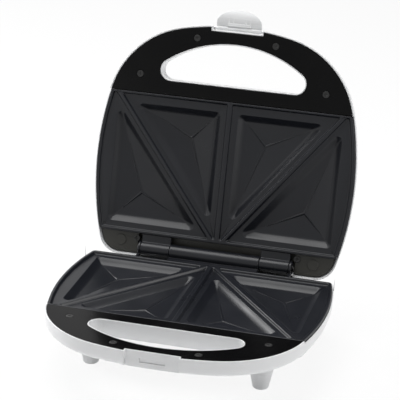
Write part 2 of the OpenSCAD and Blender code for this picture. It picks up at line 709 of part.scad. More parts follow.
pin_end = knuckle_end + leaf_gap + ear_t;
module hinge_pin() {
    color(STEEL) in_base() translate([0, 0, base_axis_z]) rotate([0, 90, 0]) difference() {
        union() {
            translate([0, 0, -pin_end - 0.2]) cylinder(r = pin_r, h = 2 * pin_end + 2.2);
            translate([0, 0, -pin_end - 1.4]) cylinder(r = pin_r + 1.2, h = 1.2);
        }
        translate([0, 0, pin_end + 0.3]) difference() {
            cylinder(r = pin_r + 1, h = 0.7);
            translate([0, 0, -1]) cylinder(r = pin_r - 0.5, h = 3);
        }
    }
}

// Ring clip in the groove at the pin's far end
module hinge_clip() {
    color(STEEL) in_base() translate([pin_end + 0.35, 0, base_axis_z]) rotate([0, 90, 0]) difference() {
        cylinder(r = pin_r + 1.6, h = 0.6);
        translate([0, 0, -1]) cylinder(r = pin_r - 0.45, h = 3);
        translate([-pin_r * 0.6, -10, -1]) cube([pin_r * 1.2, 10, 3]);
    }
}

// ---------------------------------------------------------------- lid pieces

lens_spots = [[-14, deep_mid], [14, deep_mid]];
lens_r = 4;
rear_screw = [knuckle_end + leaf_gap + ear_t + screw_head_r + 0.4, -8.5];
bay_depth = 11;

module lid_shell() {
    color(WHITE) in_lid() difference() {
        half_shell(rear_reach, rear_corner_r, plate_deep + 1, false);
        hinge_bay(bay_depth, 2, rear_reach + 1);
        for (p = lens_spots) translate([p[0], p[1], -bowl_depth - 1]) cylinder(r = lens_r + 0.05, h = wall + 2);
        translate([-block_half - 1, latch_y, -latch_pivot_z]) rotate([0, 90, 0])
            cylinder(r = latch_pin_r + 0.05, h = 2 * block_half + 2);
    }
}

module lid_trim() {
    color(BLACK) in_lid() trim(rear_reach, rear_corner_r);
}

module lid_trim_screws() {
    color(STEEL) in_lid() at_trim_screws() screw(trim_screw_l);
}

module lid_plate() {
    color(CAST) in_lid() difference() {
        union() {
            cast_plate();
            for (m = [0, 1]) mirror([m, 0, 0]) leaf(barrel_half + leaf_gap, knuckle_end, knuckle_r, lid_axis_z);
        }
        leaf_bore(lid_axis_z);
    }
}

// Dark cover behind the lid's plate: two corner floors joined by a lower strip behind the barrel
cover_drop = 4;
cover_t = 1.6;
cover_gap = 0.9;                 // from the shell's wall, at the depth of the corner floors
strip_gap = 0.4;                 // from the shell's wall, along the strip
// How far the inner face of the shell's wall lies inside its outline, at a depth on the edge curve
function wall_lean_at(z) = wall + side_draft
    + edge_curve_r * (1 - cos(asin((z + wall - side_upright) / edge_curve_r)));
module lid_rear_cover() {
    inner = pin_end + 1.9;
    deep = rear_reach + plate_back - 0.3 - wall_lean_at(bay_depth + cover_t) - strip_gap;
    color("#3a3a36") in_lid() difference() {
        union() {
            translate([0, 0, -cover_drop - cover_t]) linear_extrude(cover_t) intersection() {
                polygon(body_plan(wall + cover_gap, rear_reach, rear_corner_r, -bowl_front, bowl_corner_r));
                for (m = [0, 1]) mirror([m, 0]) translate([inner, -plate_back + 0.3]) square([60, 40]);
            }
            translate([-inner - cover_t, -plate_back + 0.3, -bay_depth - cover_t])
                cube([2 * (inner + cover_t), deep, cover_t]);
            for (m = [0, 1]) mirror([m, 0, 0]) {
                translate([inner, -plate_back + 0.3, -bay_depth - cover_t])
                    cube([cover_t, deep, bay_depth - cover_drop + cover_t]);
                translate([88.5, -5.5, -cover_drop - cover_t]) cylinder(r = 4.8, h = cover_t + 1);
                translate([rear_screw[0], rear_screw[1], -cover_drop - 7]) cylinder(r = 2.9, h = 7);
            }
        }
        for (m = [0, 1]) mirror([m, 0, 0])
            translate([rear_screw[0], rear_screw[1], -cover_drop - 6]) cylinder(r = screw_r + 0.05, h = 8);
    }
}

module lid_rear_screws() {
    color(STEEL) in_lid() for (sx = [-1, 1])
        translate([sx * rear_screw[0], rear_screw[1], -cover_drop + screw_head_h + 0.02]) screw(rear_screw_l);
}

module lid_heater() {
    color(STEEL) in_lid() heater();
}

module lid_heater_clips() {
    color(STEEL) in_lid() heater_clips();
}

module lid_reflector() {
    color(STEEL) in_lid() reflector();
}

// Bimetal thermostat and its fuse, both under the rib between the slices
thermostat_y = -60;
thermostat_foot = [10.4, 20, 3];
thermostat_can_r = 5;
thermostat_can_h = 5.5;
thermostat_tabs = 8;             // distance of a tab from the middle
fuse_y = -88;
fuse_r = 2;
fuse_l = 14;
module thermostat() {
    base = thermostat_foot[2];
    color("#d8d4c4") in_lid() translate([0, thermostat_y, -plate_t]) {
        translate([-thermostat_foot[0] / 2, -thermostat_foot[1] / 2, -base]) cube(thermostat_foot);
        translate([0, 0, -base - 5]) cylinder(r = thermostat_can_r, h = thermostat_can_h);
        for (y = [-thermostat_tabs, thermostat_tabs]) translate([-2, y - 0.4, -base - 6]) cube([4, 0.8, 6.5]);
    }
}

module thermal_fuse() {
    color(STEEL) in_lid() translate([0, fuse_y, -plate_t - fuse_r - 0.05]) rotate([90, 0, 0]) {
        translate([0, 0, -fuse_l / 2]) cylinder(r = fuse_r, h = fuse_l);
        translate([0, 0, -fuse_l / 2 - 6]) cylinder(r = 0.6, h = fuse_l + 12);
    }
}

module lens(i) {
    p = lens_spots[i];
    in_lid() translate([p[0], p[1], -bowl_depth]) {
        translate([0, 0, -0.5]) cylinder(r = lens_r, h = wall + 0.5);
        translate([0, 0, wall]) cylinder(r = lens_r + 1, h = 1);
    }
}

module lamp(i) {
    p = lens_spots[i];
    color("#e8c8a0") in_lid() translate([p[0], p[1], -bowl_depth + wall + 1.02]) {
        cylinder(r = 2.6, h = 7);
        translate([0, 0, 7]) cylinder(r = 3.4, h = 3);
    }
}

module power_lens() { color("#c02018") lens(0); }
module ready_lens() { color("#2a9a3a") lens(1); }
module power_lamp() { lamp(0); }
module ready_lamp() { lamp(1); }

module latch_pin() {
    color(STEEL) in_lid() translate([-block_half + 0.3, latch_y, -latch_pivot_z]) rotate([0, 90, 0])
        cylinder(r = latch_pin_r, h = 2 * block_half - 0.6);
}

// The latch, swung out as it stands when the lid is open: a domed tongue with a hook on its inner face
module latch() {
    end_r = 46;
    color(WHITE) in_lid() translate([0, latch_y, -latch_pivot_z]) difference() {
        union() {
            rotate([0, 90, 0]) translate([0, 0, -latch_half]) cylinder(r = latch_hub_r, h = 2 * latch_half);
            translate([0, 0, -latch_t + 0.9]) linear_extrude(latch_t) intersection() {
                translate([-latch_half, -latch_len]) square([2 * latch_half, latch_len]);
                translate([0, end_r - latch_len]) circle(r = end_r, $fn = 120);
            }
            translate([-hook_half, -15, 0]) cube([2 * hook_half, 2, 0.9 + hook_reach]);
            for (x = [-hook_half, hook_half - 1.6]) translate([x, -14, 0]) cube([1.6, 12.6, 1.8]);
        }
        translate([-half_w, 0, 0]) rotate([0, 90, 0]) cylinder(r = latch_pin_r + 0.05, h = 2 * half_w);
    }
}

base_shell();
base_trim();
base_plate();
base_heater();
base_heater_clips();
base_reflector();
base_trim_screws();
base_plate_screws();
front_left_foot();
front_right_foot();
rear_left_foot();
rear_right_foot();
cord_gland();
terminal_block();
hinge_pin();
hinge_clip();
lid_shell();
lid_trim();
lid_plate();
lid_rear_cover();
lid_heater();
lid_heater_clips();
lid_reflector();
lid_trim_screws();
lid_rear_screws();
thermostat();
thermal_fuse();
power_lens();
ready_lens();
power_lamp();
ready_lamp();
latch_pin();
latch();
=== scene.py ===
# %% [markdown]
# # A sandwich toaster, dressed for its portrait
# The engineering model comes first and stays where it is. This lesson gives each of its pieces the
# rounded edges and the finish that the real one has, then lights the toaster as in a photo studio.

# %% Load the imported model
import json
import math

import bpy
from mathutils import Matrix, Vector


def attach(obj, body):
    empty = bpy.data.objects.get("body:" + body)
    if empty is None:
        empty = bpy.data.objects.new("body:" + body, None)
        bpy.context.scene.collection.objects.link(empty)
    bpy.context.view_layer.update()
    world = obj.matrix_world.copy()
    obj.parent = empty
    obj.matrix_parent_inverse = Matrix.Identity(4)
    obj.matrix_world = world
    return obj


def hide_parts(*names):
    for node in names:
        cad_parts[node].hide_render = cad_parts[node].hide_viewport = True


MM = 0.001
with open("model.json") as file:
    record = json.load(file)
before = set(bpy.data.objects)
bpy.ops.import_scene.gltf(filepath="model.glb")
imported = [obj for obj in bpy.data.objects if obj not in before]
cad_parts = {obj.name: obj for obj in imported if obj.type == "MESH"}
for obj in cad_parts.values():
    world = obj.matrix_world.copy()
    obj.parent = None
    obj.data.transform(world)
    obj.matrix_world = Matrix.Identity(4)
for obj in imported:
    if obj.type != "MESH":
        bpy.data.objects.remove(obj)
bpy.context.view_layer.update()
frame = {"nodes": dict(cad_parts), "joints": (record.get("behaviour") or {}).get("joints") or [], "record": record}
nodes = frame["nodes"]

# %% [markdown]
# The two hinge points come from the model's own joints, so anything that has to line up with the
# open lid uses them and stays right if the model changes.

# %% Where the lid turns, and how far it stands open
JOINTS = {j["name"]: j for j in frame["joints"]}
HINGE = Vector(JOINTS["lid_hinge"]["pos_m"])
LATCH = Vector(JOINTS["latch_pivot"]["pos_m"])
LID_OPEN = math.radians(JOINTS["lid_hinge"]["range_deg"][1])
PART_GAP = 0.4 * MM      # gap between the halves when shut
HINGE_RISE = 1.9 * MM    # the hinge line above the plane that the halves share


def in_base(x, y, z):
    """A point of the base, in mm from the hinge line and from the base's own rim."""
    return Vector((x * MM, HINGE.y + y * MM, HINGE.z - HINGE_RISE - PART_GAP / 2 + z * MM))


LID_TURN = Matrix.Rotation(-LID_OPEN, 4, "X")


def in_lid(x, y, z):
    """The same for the open lid, whose z points away from its plate as the base's does."""
    return HINGE + LID_TURN @ Vector((x * MM, y * MM, PART_GAP / 2 - HINGE_RISE - z * MM))


print("lid rim's middle, mm:", [round(v / MM, 1) for v in in_lid(0, -140, 0)])

# %% [markdown]
# ## The camera
# A long lens from well back keeps the sides of the plates nearly parallel. The view is from a little
# to the right and about 21 degrees above the table, and the camera leans a touch, as it did for the
# original picture.

# %% Camera
CAMERA_AT = HINGE + Vector((347.3, -1483.9, 632.6)) * MM
CAMERA_RIGHT = Vector((0.96692, 0.25202, 0.03948))
CAMERA_UP = Vector((-0.12519, 0.33394, 0.93425))

FOCAL_MM, SENSOR_MM = 166.15, 36.0
NEAREST, FARTHEST = 0.05, 30     # what the camera can see, in metres

lens = bpy.data.cameras.new("portrait_lens")
lens.lens, lens.sensor_width = FOCAL_MM, SENSOR_MM
lens.clip_start, lens.clip_end = NEAREST, FARTHEST
camera = bpy.data.objects.new("portrait_camera", lens)
bpy.context.scene.collection.objects.link(camera)
turn = Matrix((CAMERA_RIGHT, CAMERA_UP, CAMERA_RIGHT.cross(CAMERA_UP))).transposed()
camera.matrix_world = Matrix.Translation(CAMERA_AT) @ turn.to_4x4()
bpy.context.scene.camera = camera
bpy.context.scene.view_settings.view_transform = "Standard"
print("camera at, mm:", [round(v / MM) for v in CAMERA_AT])

# %% [markdown]
# ## Small helpers for materials
# A material here is one Principled shader with a few node groups in front of it. Numbers that are the
# same all over go straight on the shader's own sockets.


# %% Material helpers
def new_material(name, colour, roughness, metallic=0.0, **sockets):
    """A material with its Principled shader, and plain values on the shader's sockets."""
    m = bpy.data.materials.new(name)
    m.use_nodes = True
    shader = m.node_tree.nodes["Principled BSDF"]
    shader.inputs["Base Color"].default_value = (*colour, 1)
    shader.inputs["Roughness"].default_value = roughness
    shader.inputs["Metallic"].default_value = metallic
    for socket, value in sockets.items():
        shader.inputs[socket.replace("_", " ")].default_value = value
    return m, m.node_tree, shader


def new_group(name, inputs, outputs):
    """A shader node group with named sockets: inputs as (name, kind, value), outputs as (name, kind)."""
    g = bpy.data.node_groups.new(name, "ShaderNodeTree")
    for socket, kind, value in inputs:
        g.interface.new_socket(socket, in_out="INPUT", socket_type=kind).default_value = value
    for socket, kind in outputs:
        g.interface.new_socket(socket, in_out="OUTPUT", socket_type=kind)
    return g, g.nodes.new("NodeGroupInput"), g.nodes.new("NodeGroupOutput")


def add(tree, kind, **settings):
    """A new node with its settings."""
    n = tree.nodes.new(kind)
    for key, value in settings.items():
        setattr(n, key, value)
    return n


FLOAT, COLOUR = "NodeSocketFloat", "NodeSocketColor"

# %% [markdown]
# ## Three effects that many finishes share
# *Mottle* drifts slowly between two colours, because no moulding or coating is one flat colour. A
# painted map could do that too, but a soft noise needs no picture and suits a piece of any shape.

# %% The mottle group
MIDDLE_OF_NOISE = (0.25, 0.75)     # the part of a noise's range that is spread over the whole change
mottle, gi, go = new_group("mottle", [("Scale", FLOAT, 20), ("Colour A", COLOUR, (1, 1, 1, 1)),
    ("Colour B", COLOUR, (0, 0, 0, 1))], [("Colour", COLOUR)])
where = add(mottle, "ShaderNodeTexCoord")
cloud = add(mottle, "ShaderNodeTexNoise")
cloud.inputs["Detail"].default_value = 2
cloud.inputs["Roughness"].default_value = 0.5
spread = add(mottle, "ShaderNodeMapRange")
spread.inputs["From Min"].default_value, spread.inputs["From Max"].default_value = MIDDLE_OF_NOISE
blend = add(mottle, "ShaderNodeMix", data_type="RGBA")
mottle.links.new(where.outputs["Object"], cloud.inputs["Vector"])
mottle.links.new(gi.outputs["Scale"], cloud.inputs["Scale"])
mottle.links.new(cloud.outputs["Fac"], spread.inputs["Value"])
mottle.links.new(spread.outputs["Result"], blend.inputs["Factor"])
mottle.links.new(gi.outputs["Colour A"], blend.inputs["A"])
mottle.links.new(gi.outputs["Colour B"], blend.inputs["B"])
mottle.links.new(blend.outputs["Result"], go.inputs["Colour"])
print("mottle nodes:", len(mottle.nodes))

# %% [markdown]
# *Fine skin* is the tiny unevenness of a moulded or sprayed surface. A fine noise gives its height and
# a broad one its roughness, so a reflection is never equally sharp all over.

# %% The fine skin group
skin, gi, go = new_group("fine_skin", [("Scale", FLOAT, 900), ("Smoothest", FLOAT, 0.3),
    ("Roughest", FLOAT, 0.4)], [("Roughness", FLOAT), ("Height", FLOAT)])
where = add(skin, "ShaderNodeTexCoord")
grain = add(skin, "ShaderNodeTexNoise")
grain.inputs["Detail"].default_value = 2
broad = add(skin, "ShaderNodeTexNoise")
broad.inputs["Scale"].default_value = 28
broad.inputs["Detail"].default_value = 1
level = add(skin, "ShaderNodeMapRange")
level.inputs["From Min"].default_value, level.inputs["From Max"].default_value = MIDDLE_OF_NOISE
for noise in (grain, broad):
    skin.links.new(where.outputs["Object"], noise.inputs["Vector"])
skin.links.new(gi.outputs["Scale"], grain.inputs["Scale"])
skin.links.new(broad.outputs["Fac"], level.inputs["Value"])
skin.links.new(gi.outputs["Smoothest"], level.inputs["To Min"])
skin.links.new(gi.outputs["Roughest"], level.inputs["To Max"])
skin.links.new(level.outputs["Result"], go.inputs["Roughness"])
skin.links.new(grain.outputs["Fac"], go.inputs["Height"])
print("fine skin nodes:", len(skin.nodes))

# %% [markdown]
# *Edge rub* finds outer edges, where handling polishes a finish or wears it pale. The mesh's own
# pointiness shows where these edges are.

# %% The edge rub group
rub, gi, go = new_group("edge_rub", [("Colour", COLOUR, (0, 0, 0, 1)), ("Rubbed", COLOUR, (0.1, 0.1, 0.1, 1)),
    ("Amount", FLOAT, 0.5)], [("Colour", COLOUR)])
shape = add(rub, "ShaderNodeNewGeometry")
edge = add(rub, "ShaderNodeMapRange")
OUTER_EDGE = (0.52, 0.62)          # pointiness where the rub begins, and where it is full
edge.inputs["From Min"].default_value, edge.inputs["From Max"].default_value = OUTER_EDGE
share = add(rub, "ShaderNodeMath", operation="MULTIPLY")
blend = add(rub, "ShaderNodeMix", data_type="RGBA")
rub.links.new(shape.outputs["Pointiness"], edge.inputs["Value"])
rub.links.new(edge.outputs["Result"], share.inputs[0])
rub.links.new(gi.outputs["Amount"], share.inputs[1])
rub.links.new(share.outputs["Value"], blend.inputs["Factor"])
rub.links.new(gi.outputs["Colour"], blend.inputs["A"])
rub.links.new(gi.outputs["Rubbed"], blend.inputs["B"])
rub.links.new(blend.outputs["Result"], go.inputs["Colour"])
print("edge rub nodes:", len(rub.nodes))

# %% [markdown]
# ## A recipe for a moulded or coated finish
# Each finish drifts between two close colours, lightens a little where it is handled, and has a skin
# with its own grain, roughness and depth. One recipe with values is easier to keep even than a dozen
# materials built by hand.


# %% A finish from the three groups
BUMP_STRENGTH = 0.6
DRIFT = 22     # scale of the mottle


def finish(name, colours, roughness, grain, rubbed=None, metallic=0.0, **sockets):
    """colours: the two tones. roughness: smoothest, roughest. grain: scale and depth in mm."""
    m, tree, shader = new_material(name, colours[0], roughness[0], metallic, **sockets)
    tones = add(tree, "ShaderNodeGroup", node_tree=mottle)
    tones.inputs["Scale"].default_value = DRIFT
    tones.inputs["Colour A"].default_value = (*colours[0], 1)
    tones.inputs["Colour B"].default_value = (*colours[1], 1)
    last = tones.outputs["Colour"]
    if rubbed:
        worn = add(tree, "ShaderNodeGroup", node_tree=rub)
        worn.inputs["Rubbed"].default_value = (*rubbed[0], 1)
        worn.inputs["Amount"].default_value = rubbed[1]
        tree.links.new(last, worn.inputs["Colour"])
        last = worn.outputs["Colour"]
    tree.links.new(last, shader.inputs["Base Color"])
    surface = add(tree, "ShaderNodeGroup", node_tree=skin)
    surface.inputs["Scale"].default_value = grain[0]
    surface.inputs["Smoothest"].default_value, surface.inputs["Roughest"].default_value = roughness
    bump = add(tree, "ShaderNodeBump")
    bump.inputs["Strength"].default_value = BUMP_STRENGTH
    bump.inputs["Distance"].default_value = grain[1] * MM
    tree.links.new(surface.outputs["Roughness"], shader.inputs["Roughness"])
    tree.links.new(surface.outputs["Height"], bump.inputs["Height"])
    tree.links.new(bump.outputs["Normal"], shader.inputs["Normal"])
    return m


# %% [markdown]
# ## The finishes
# The outer shells are glossy white plastic and the handle covers glossy black. The plates are cast
# metal under a dark, slightly blue non-stick coating, whose satin catches the light on every rounded
# wall. Small metal parts are steel. The screws in the covers and the hinge's pin are blackened.

# %% Finishes
WHITE = finish("white_moulding", ((0.832, 0.837, 0.842), (0.828, 0.833, 0.838)), (0.28, 0.29), (420, 0.012))
BLACK = finish("black_moulding", ((0.0016, 0.0016, 0.0018), (0.0028, 0.0028, 0.0030)), (0.14, 0.24),
    (500, 0.006), rubbed=((0.02, 0.02, 0.02), 0.4), Specular_IOR_Level=0.1)
COATING = finish("non_stick_coating", ((0.0065, 0.0075, 0.0105), (0.0095, 0.0105, 0.0145)), (0.27, 0.36),
    (1300, 0.02), rubbed=((0.05, 0.05, 0.055), 0.3), Specular_IOR_Level=0.34)
COVER = finish("matt_dark_moulding", ((0.026, 0.026, 0.021), (0.034, 0.033, 0.027)), (0.42, 0.55),
    (900, 0.03))
RUBBER = finish("rubber", ((0.022, 0.022, 0.022), (0.03, 0.03, 0.03)), (0.6, 0.75), (800, 0.03))
CERAMIC = finish("ceramic", ((0.74, 0.70, 0.61), (0.66, 0.62, 0.54)), (0.55, 0.7), (1500, 0.03))
STEEL = finish("bright_steel", ((0.56, 0.56, 0.57), (0.48, 0.48, 0.49)), (0.22, 0.34), (700, 0.006),
    metallic=1.0)
SHEET = finish("reflector_sheet", ((0.78, 0.78, 0.79), (0.70, 0.70, 0.71)), (0.18, 0.30), (300, 0.01),
    metallic=1.0)
DARK_SCREW = finish("black_screw", ((0.004, 0.004, 0.004), (0.007, 0.007, 0.007)), (0.3, 0.4), (900, 0.01),
    rubbed=((0.05, 0.05, 0.05), 0.5), metallic=0.1)
RED = finish("red_lens", ((0.62, 0.03, 0.02), (0.5, 0.02, 0.015)), (0.08, 0.14), (200, 0.004),
    Transmission_Weight=0.5)
GREEN = finish("green_lens", ((0.03, 0.42, 0.09), (0.02, 0.34, 0.07)), (0.08, 0.14), (200, 0.004),
    Transmission_Weight=0.5)
LAMP = finish("lamp_glass", ((0.85, 0.66, 0.46), (0.8, 0.6, 0.4)), (0.05, 0.1), (200, 0.004),
    Transmission_Weight=0.7)
BY_SLOT = {"white_shell": WHITE, "gloss_black": BLACK, "cast_plate": COATING, "dark_cover": COVER,
    "gland_rubber": RUBBER, "ceramic": CERAMIC, "red_lens": RED, "green_lens": GREEN, "lamp_glass": LAMP,
    "reflector_sheet": SHEET, "dark_screw": DARK_SCREW, "steel": STEEL}
print("finishes:", len(BY_SLOT))

# %% [markdown]
# Every piece of the model carries the name of its finish. Giving the finish to all of them first means
# that even the hidden pieces look right when the toaster is taken apart.

# %% Give every model piece its finish
SLOT_OF = {part["node"]: part["material_slot"] for part in frame["record"]["subparts"]}


def wear(piece, material):
    """Puts one finish on a whole piece."""
    piece.data.materials.clear()
    piece.data.materials.append(material)


for name, node in nodes.items():
    wear(node, BY_SLOT[SLOT_OF[name]])
print("model pieces with a finish:", len(nodes))

# %% [markdown]
# ## Rounded pieces
# No moulded or cast edge is sharp: each has a small radius that draws a thin line of light, and this
# line is much of what makes plastic look like plastic. The model's own pieces can't be changed, so
# each gets a copy whose loose triangles are merged, whose flat areas become single faces, and whose
# edges then take a bevel. The copy rides on the same body and stands for the model's piece.


# %% Select only what an operator should act on
def select_none():
    for o in bpy.context.selected_objects:
        o.select_set(False)


def only(piece):
    """Deselects everything, then selects this piece and makes it active."""
    select_none()
    piece.select_set(True)
    bpy.context.view_layer.objects.active = piece


def apply_modifiers(piece):
    only(piece)
    for modifier in list(piece.modifiers):
        bpy.ops.object.modifier_apply(modifier=modifier.name)


# %% [markdown]
# One helper bevels a piece and shades it, whether the piece is a copy or is modelled here. Curves are
# shaded smoothly and flat faces keep their own direction, so a wide face shows no false sheen.

# %% Bevel a piece's edges
EDGE_STEPS = 3     # facets across a bevel
SMOOTH = 40        # neighbours closer than this are shaded as one curve, in degrees


def soften(piece, width, angle):
    """Bevels a piece's edges, then shades it smoothly with its flat faces kept flat."""
    bevel = piece.modifiers.new("edge", "BEVEL")
    bevel.width, bevel.segments = width * MM, EDGE_STEPS
    bevel.limit_method, bevel.angle_limit = "ANGLE", math.radians(angle)
    bevel.use_clamp_overlap = False
    bevel.miter_outer = "MITER_ARC"
    apply_modifiers(piece)
    only(piece)
    bpy.ops.object.shade_smooth_by_angle(angle=math.radians(SMOOTH))
    piece.modifiers.new("flats", "WEIGHTED_NORMAL").keep_sharp = True
    apply_modifiers(piece)


print("bevels at most, facets:", EDGE_STEPS)


# %% [markdown]
# To find places on the model's meshes, points are read in each half's own frame, where a level means
# the same depth in the base and in the lid.

# %% From the scene back to a half's own frame
def from_base(p):
    """The inverse of in_base: a point in mm, in the base's own frame."""
    return Vector((p.x, p.y - HINGE.y, p.z - HINGE.z + HINGE_RISE + PART_GAP / 2)) / MM


def from_lid(p):
    """The inverse of in_lid."""
    q = LID_TURN.inverted() @ (p - HINGE)
    return Vector((q.x, q.y, PART_GAP / 2 - HINGE_RISE - q.z)) / MM


print("hinge in the base's frame, mm:", [round(v, 1) for v in from_base(HINGE)])

# %% [markdown]
# ### The easy curve at the foot of a pocket's wall
# A slice has to slide out, so each pocket's wall runs into its floor in a wide curve, and that curve
# is what catches the light from the left. The model's wall has three rings of points near its foot.
# Drawing each ring in towards the middle of its pocket, and the upper two up the wall, opens the
# curve, with no new points.

# %% Draw the rings of a pocket in
POCKET_IN = 26.2                       # from a pocket's middle to its sides, in mm
PEAK = -8.8                            # level of the crossing of the creases at a pocket's middle
PEAK_OUT = 20                          # every such middle lies farther from the plate's middle line
# Each ring's level and its inset from the pocket's sides, now and wanted
RINGS = ((-6.6, 1.8, -4.7, 1.75), (-7.25, 2.5, -6.9, 4.0), (-7.5, 3.6, -7.6, 6.2))
SAME_LEVEL = 0.02                      # mm
RIDGE = (Vector((5.6, -16.1)), Vector((101.9, -138.0)))    # line between two pockets
PLATES = {"base_plate": (from_base, in_base), "lid_plate": (from_lid, in_lid)}


def pocket_of(q):
    """Which of the four pockets a point belongs to, by its half and its side of the ridge."""
    along = RIDGE[1] - RIDGE[0]
    side = along.cross(Vector((abs(q.x), q.y)) - RIDGE[0])
    return (q.x > 0, side > 0)


def ease_pockets(piece, inverse, place):
    """Draws in and lifts the rings round the foot of each pocket's wall."""
    only(piece)
    up = place(0, 0, 1) - place(0, 0, 0)
    spots = [inverse(v.co) for v in piece.data.vertices]
    middles = {pocket_of(q): v.co.copy() for q, v in zip(spots, piece.data.vertices)
        if abs(q.z - PEAK) < SAME_LEVEL and abs(q.x) > PEAK_OUT}
    for level, now, new_level, wanted in RINGS:
        for pocket, middle in middles.items():
            chosen = [i for i, q in enumerate(spots)
                if abs(q.z - level) < SAME_LEVEL and pocket_of(q) == pocket]
            bpy.ops.object.mode_set(mode="EDIT")
            bpy.ops.mesh.select_all(action="DESELECT")
            bpy.ops.object.mode_set(mode="OBJECT")
            for i in chosen:
                piece.data.vertices[i].select = True
            factor = (POCKET_IN - wanted) / (POCKET_IN - now)
            at = middle + (piece.data.vertices[chosen[0]].co - middle).project(up)
            bpy.ops.object.mode_set(mode="EDIT")
            bpy.ops.transform.resize(value=(factor,) * 3, center_override=at)
            bpy.ops.transform.translate(value=up * (new_level - level))
            bpy.ops.object.mode_set(mode="OBJECT")
    print(piece.name, "pockets eased:", len(middles))


# %% [markdown]
# The copy itself is made in one function. On the plates the bevel starts at steeper edges, so that it
# leaves the rings of the pockets alone.

# %% A rounded copy of a model piece
BODY_OF = {n: body for body, members in frame["record"]["behaviour"]["bodies"].items() for n in members}
SEEN_SLOT = SLOT_OF | {"hinge_pin": "dark_screw", "hinge_clip": "dark_screw"}   # blackened, as seen
FLAT = math.radians(0.4)     # neighbours closer than this are one flat area
MERGE = 0.004                # points closer than this are one point, mm
EDGE_FROM, PLATE_EDGE_FROM = 26, 31     # the bevel takes edges sharper than this, in degrees


def rounded(node, width):
    """A copy of a model piece with rounded edges, which stands for it."""
    piece = bpy.data.objects.new(node + "_finished", nodes[node].data.copy())
    bpy.context.scene.collection.objects.link(piece)
    only(piece)
    bpy.ops.mesh.customdata_custom_splitnormals_clear()
    bpy.ops.object.mode_set(mode="EDIT")
    bpy.ops.mesh.select_all(action="SELECT")
    bpy.ops.mesh.mark_sharp(clear=True)
    bpy.ops.mesh.remove_doubles(threshold=MERGE * MM)
    bpy.ops.mesh.dissolve_limited(angle_limit=FLAT)
    bpy.ops.mesh.vert_connect_concave()
    bpy.ops.mesh.select_mode(type="VERT")
    bpy.ops.object.mode_set(mode="OBJECT")
    if node in PLATES:
        ease_pockets(piece, *PLATES[node])
    soften(piece, width, PLATE_EDGE_FROM if node in PLATES else EDGE_FROM)
    wear(piece, BY_SLOT[SEEN_SLOT[node]])
    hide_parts(node)
    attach(piece, BODY_OF[node])
    return piece


# %% [markdown]
# Thick mouldings and castings take a radius of about half a millimetre, and small hardware less.

# %% Round the main pieces
ROUNDINGS = {"base_shell": 0.4, "lid_shell": 0.4, "base_trim": 0.45, "lid_trim": 0.45, "base_plate": 0.5,
    "lid_plate": 0.5, "lid_rear_cover": 0.35, "terminal_block": 0.35, "cord_gland": 0.4,
    "front_left_foot": 0.5, "front_right_foot": 0.5, "rear_left_foot": 0.5, "rear_right_foot": 0.5,
    "base_trim_screws": 0.25, "lid_trim_screws": 0.25, "lid_rear_screws": 0.25, "base_plate_screws": 0.25,
    "power_lens": 0.7, "ready_lens": 0.7, "hinge_pin": 0.3, "hinge_clip": 0.12, "latch_pin": 0.2}
for node, width in ROUNDINGS.items():
    piece = rounded(node, width)
    print(node, "faces:", len(piece.data.polygons))

# %% [markdown]
# ## The latch
# The latch stands up on the lid's edge and shows its inner side: a domed tongue that bulges a little,
# so its top is light and its foot dark, with a toothed bar low in the middle that snaps over the
# base's rim. It is made lying flat at the origin, where its own sizes are easy to give.

# %% The latch's sizes
LATCH_HALF, LATCH_TOP, LATCH_FOOT = 20.3, 16.95, -1.9     # half width, tip and foot from the pivot, mm
DOME_H = 11.5                                             # height of the domed part
DOME_POINTS = 96                                          # points of the whole disc that it starts as
BULGE = ((-1.9, -1.6), (-0.6, -1.0), (0.8, -0.3), (2.4, 0.5), (4.4, 1.3), (7.0, 1.85), (9.4, 1.85),
    (11.6, 1.4), (13.4, 0.8), (15.0, 0.1), (16.95, -0.8))     # level and height of the inner face
TONGUE_T = 1.7                                            # thickness
SHEET_EDGE = 0.35                                         # radius of the tongue's edges
SHARP_ONLY = 50                                           # a bevel from here leaves gentle bends alone


def bulge_at(y):
    """Height of the tongue's inner face at a level."""
    for (y0, z0), (y1, z1) in zip(BULGE, BULGE[1:]):
        if y <= y1:
            return z0 + (z1 - z0) * max(0, y - y0) / (y1 - y0)
    return BULGE[-1][1]


print("bulge in the middle, mm:", round(bulge_at(LATCH_TOP / 2), 2))

# %% [markdown]
# The tongue starts as a disc that is squashed, cut in half and drawn down to the pivot. It could be
# carved from a block, but a sheet keeps an even wall when it is given its thickness.

# %% The tongue's outline
ON_THE_CUT = 1e-6     # points closer to the cut than this are on it, in metres
select_none()
bpy.ops.mesh.primitive_circle_add(vertices=DOME_POINTS, radius=1, fill_type="NGON")
tongue = bpy.context.object
tongue.name = "latch_finished"
bpy.ops.object.mode_set(mode="EDIT")
bpy.ops.mesh.select_all(action="SELECT")
bpy.ops.transform.resize(value=(LATCH_HALF * MM, DOME_H * MM, 1), center_override=(0, 0, 0))
bpy.ops.mesh.bisect(plane_co=(0, 0, 0), plane_no=(0, 1, 0), clear_inner=True)
bpy.ops.mesh.select_all(action="DESELECT")
bpy.ops.object.mode_set(mode="OBJECT")
for e in tongue.data.edges:
    e.select = all(abs(tongue.data.vertices[i].co.y) < ON_THE_CUT for i in e.vertices)
bpy.ops.object.mode_set(mode="EDIT")
bpy.ops.mesh.select_mode(type="EDGE")
rise = LATCH_TOP - DOME_H
bpy.ops.mesh.extrude_edges_move(TRANSFORM_OT_translate={"value": (0, (LATCH_FOOT - rise) * MM, 0)})
bpy.ops.mesh.select_all(action="SELECT")
bpy.ops.transform.translate(value=(0, rise * MM, 0))
print("drawn down by, mm:", round(rise - LATCH_FOOT, 2))

# %% [markdown]
# Slices across the sheet give it points at each level of the bulge. These are moved to their heights,
# and the sheet gets its thickness behind.

